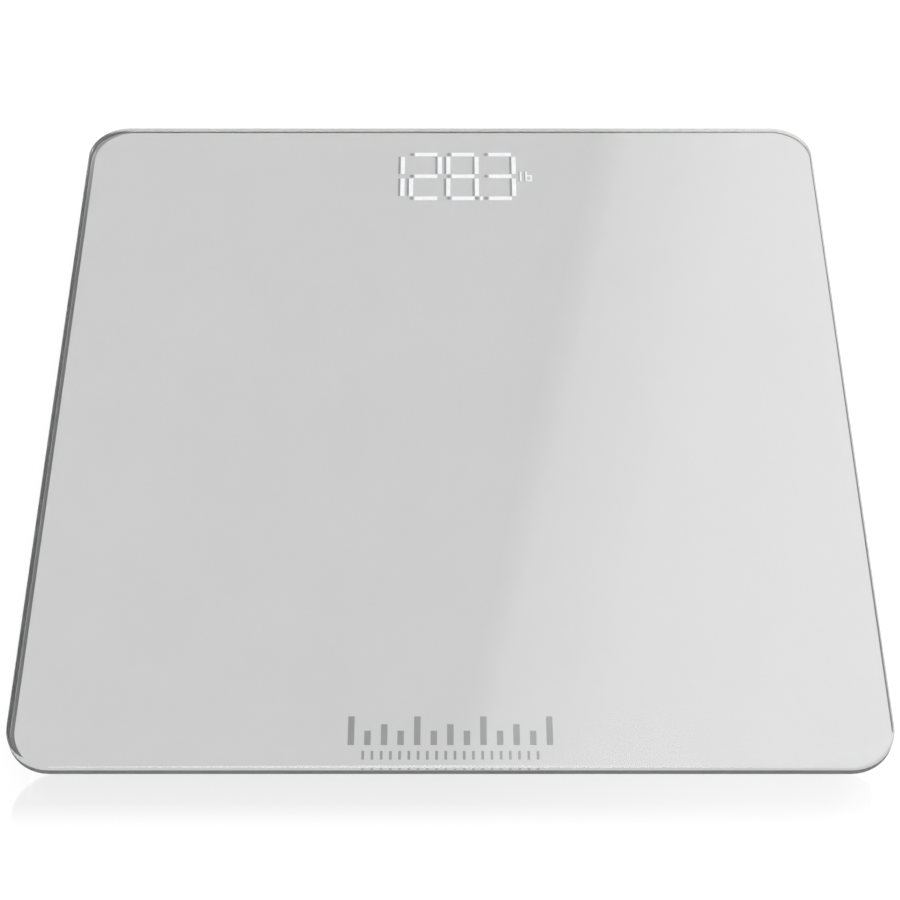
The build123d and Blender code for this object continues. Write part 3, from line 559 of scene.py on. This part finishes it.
def floor_material():
    """Pale studio floor: white to the eye with a faint sheen and a painted reflection in front of the object,
    duller in the glass, and clear from below.
    """
    material, tree, output = new_tree("studio_floor")
    rays = add(tree, "ShaderNodeLightPath")
    # the camera sees the floor's glow dimmed by the painted reflection in front of the object
    seen = add(tree, "ShaderNodeEmission", ("Strength", floor_glow_and_painted_reflection(tree)))
    sheen = add(tree, "ShaderNodeBsdfGlossy", Roughness=0.05)
    white = add(tree, "ShaderNodeBsdfDiffuse")
    white.inputs["Color"].default_value = (0.8, 0.8, 0.8, 1.0)
    glow = add(tree, "ShaderNodeMixShader", (1, seen.outputs[0]), (2, white.outputs[0]))
    glow.inputs[0].default_value = FLOOR_DIFFUSE
    polished = add(tree, "ShaderNodeMixShader", (1, glow.outputs[0]), (2, sheen.outputs[0]))
    polished.inputs[0].default_value = FLOOR_SHEEN
    dull = add(tree, "ShaderNodeBsdfDiffuse")
    dull.inputs["Color"].default_value = (0.28, 0.28, 0.28, 1.0)
    bounce = add(tree, "ShaderNodeEmission", Strength=0.8)
    in_glass = add(tree, "ShaderNodeMixShader", (0, rays.outputs["Is Diffuse Ray"]),
                   (1, dull.outputs[0]), (2, bounce.outputs[0]))
    by_ray = add(tree, "ShaderNodeMixShader", (0, rays.outputs["Is Camera Ray"]),
                 (1, in_glass.outputs[0]), (2, polished.outputs[0]))
    below = add(tree, "ShaderNodeBsdfTransparent")
    side = add(tree, "ShaderNodeNewGeometry")
    both = add(tree, "ShaderNodeMixShader", (0, side.outputs["Backfacing"]),
               (1, by_ray.outputs[0]), (2, below.outputs[0]))
    tree.links.new(both.outputs[0], output.inputs["Surface"])
    return material


def make_floor():
    """Large flat floor under the feet."""
    mesh = bpy.data.meshes.new("studio_floor")
    corners = [(x * FLOOR_REACH, y * FLOOR_REACH, 0) for x, y in ((-1, -1), (1, -1), (1, 1), (-1, 1))]
    mesh.from_pydata(corners, [], [(0, 1, 2, 3)])
    floor = bpy.data.objects.new("studio_floor", mesh)
    bpy.context.scene.collection.objects.link(floor)
    mesh.materials.append(floor_material())


def place_in_sky(tree):
    """Direction of a ray that leaves the scene."""
    ray = add(tree, "ShaderNodeTexCoord").outputs["Generated"]
    return add(tree, "ShaderNodeVectorMath", (0, ray), operation="NORMALIZE").outputs[0]


def make_sky():
    """Studio surroundings: white to the eye, and bright on one side for the object."""
    world = bpy.data.worlds.new("studio")
    bpy.context.scene.world = world
    world.use_nodes = True
    tree = world.node_tree
    tree.nodes.clear()
    output = tree.nodes.new("ShaderNodeOutputWorld")
    way = add(tree, "ShaderNodeVectorMath", ("Vector", place_in_sky(tree)), operation="DOT_PRODUCT")
    way.inputs[1].default_value = Vector(LIGHT_SIDE).normalized()
    along = math_node(tree, "MULTIPLY_ADD", way.outputs["Value"], 0.5, 0.5)
    ramp = add(tree, "ShaderNodeValToRGB", ("Fac", along))
    elements = ramp.color_ramp.elements
    while len(elements) < len(SKY_STOPS):
        elements.new(0.5)
    for element, (side, level) in zip(elements, SKY_STOPS):
        element.position = (side + 1) / 2
        element.color = (level / SKY_TOP,) * 3 + (1.0,)
    lit = add(tree, "ShaderNodeBackground", ("Color", ramp.outputs["Color"]), Strength=SKY_TOP)
    white = add(tree, "ShaderNodeBackground", Strength=1.0)
    rays = add(tree, "ShaderNodeLightPath")
    both = add(tree, "ShaderNodeMixShader", (0, rays.outputs["Is Camera Ray"]),
               (1, lit.outputs[0]), (2, white.outputs[0]))
    tree.links.new(both.outputs[0], output.inputs["Surface"])


def make_camera():
    """Camera at the viewer's eye."""
    data = bpy.data.cameras.new("camera")
    data.lens = LENS_MM
    camera = bpy.data.objects.new("camera", data)
    camera.location = CAMERA_AT
    camera.rotation_euler = (math.radians(CAMERA_TILT_DEG), 0, 0)
    bpy.context.scene.collection.objects.link(camera)
    bpy.context.scene.camera = camera


materials = make_materials()
dress_cad_nodes(materials)
# painted shadow beside the lit bars: the film's paint darkened by the shade attribute
make_segment_shadows(silver_film("shaded_film", shade_attribute="shade"))
make_floor()
make_sky()
make_camera()
bpy.context.scene.view_settings.view_transform = "Standard"
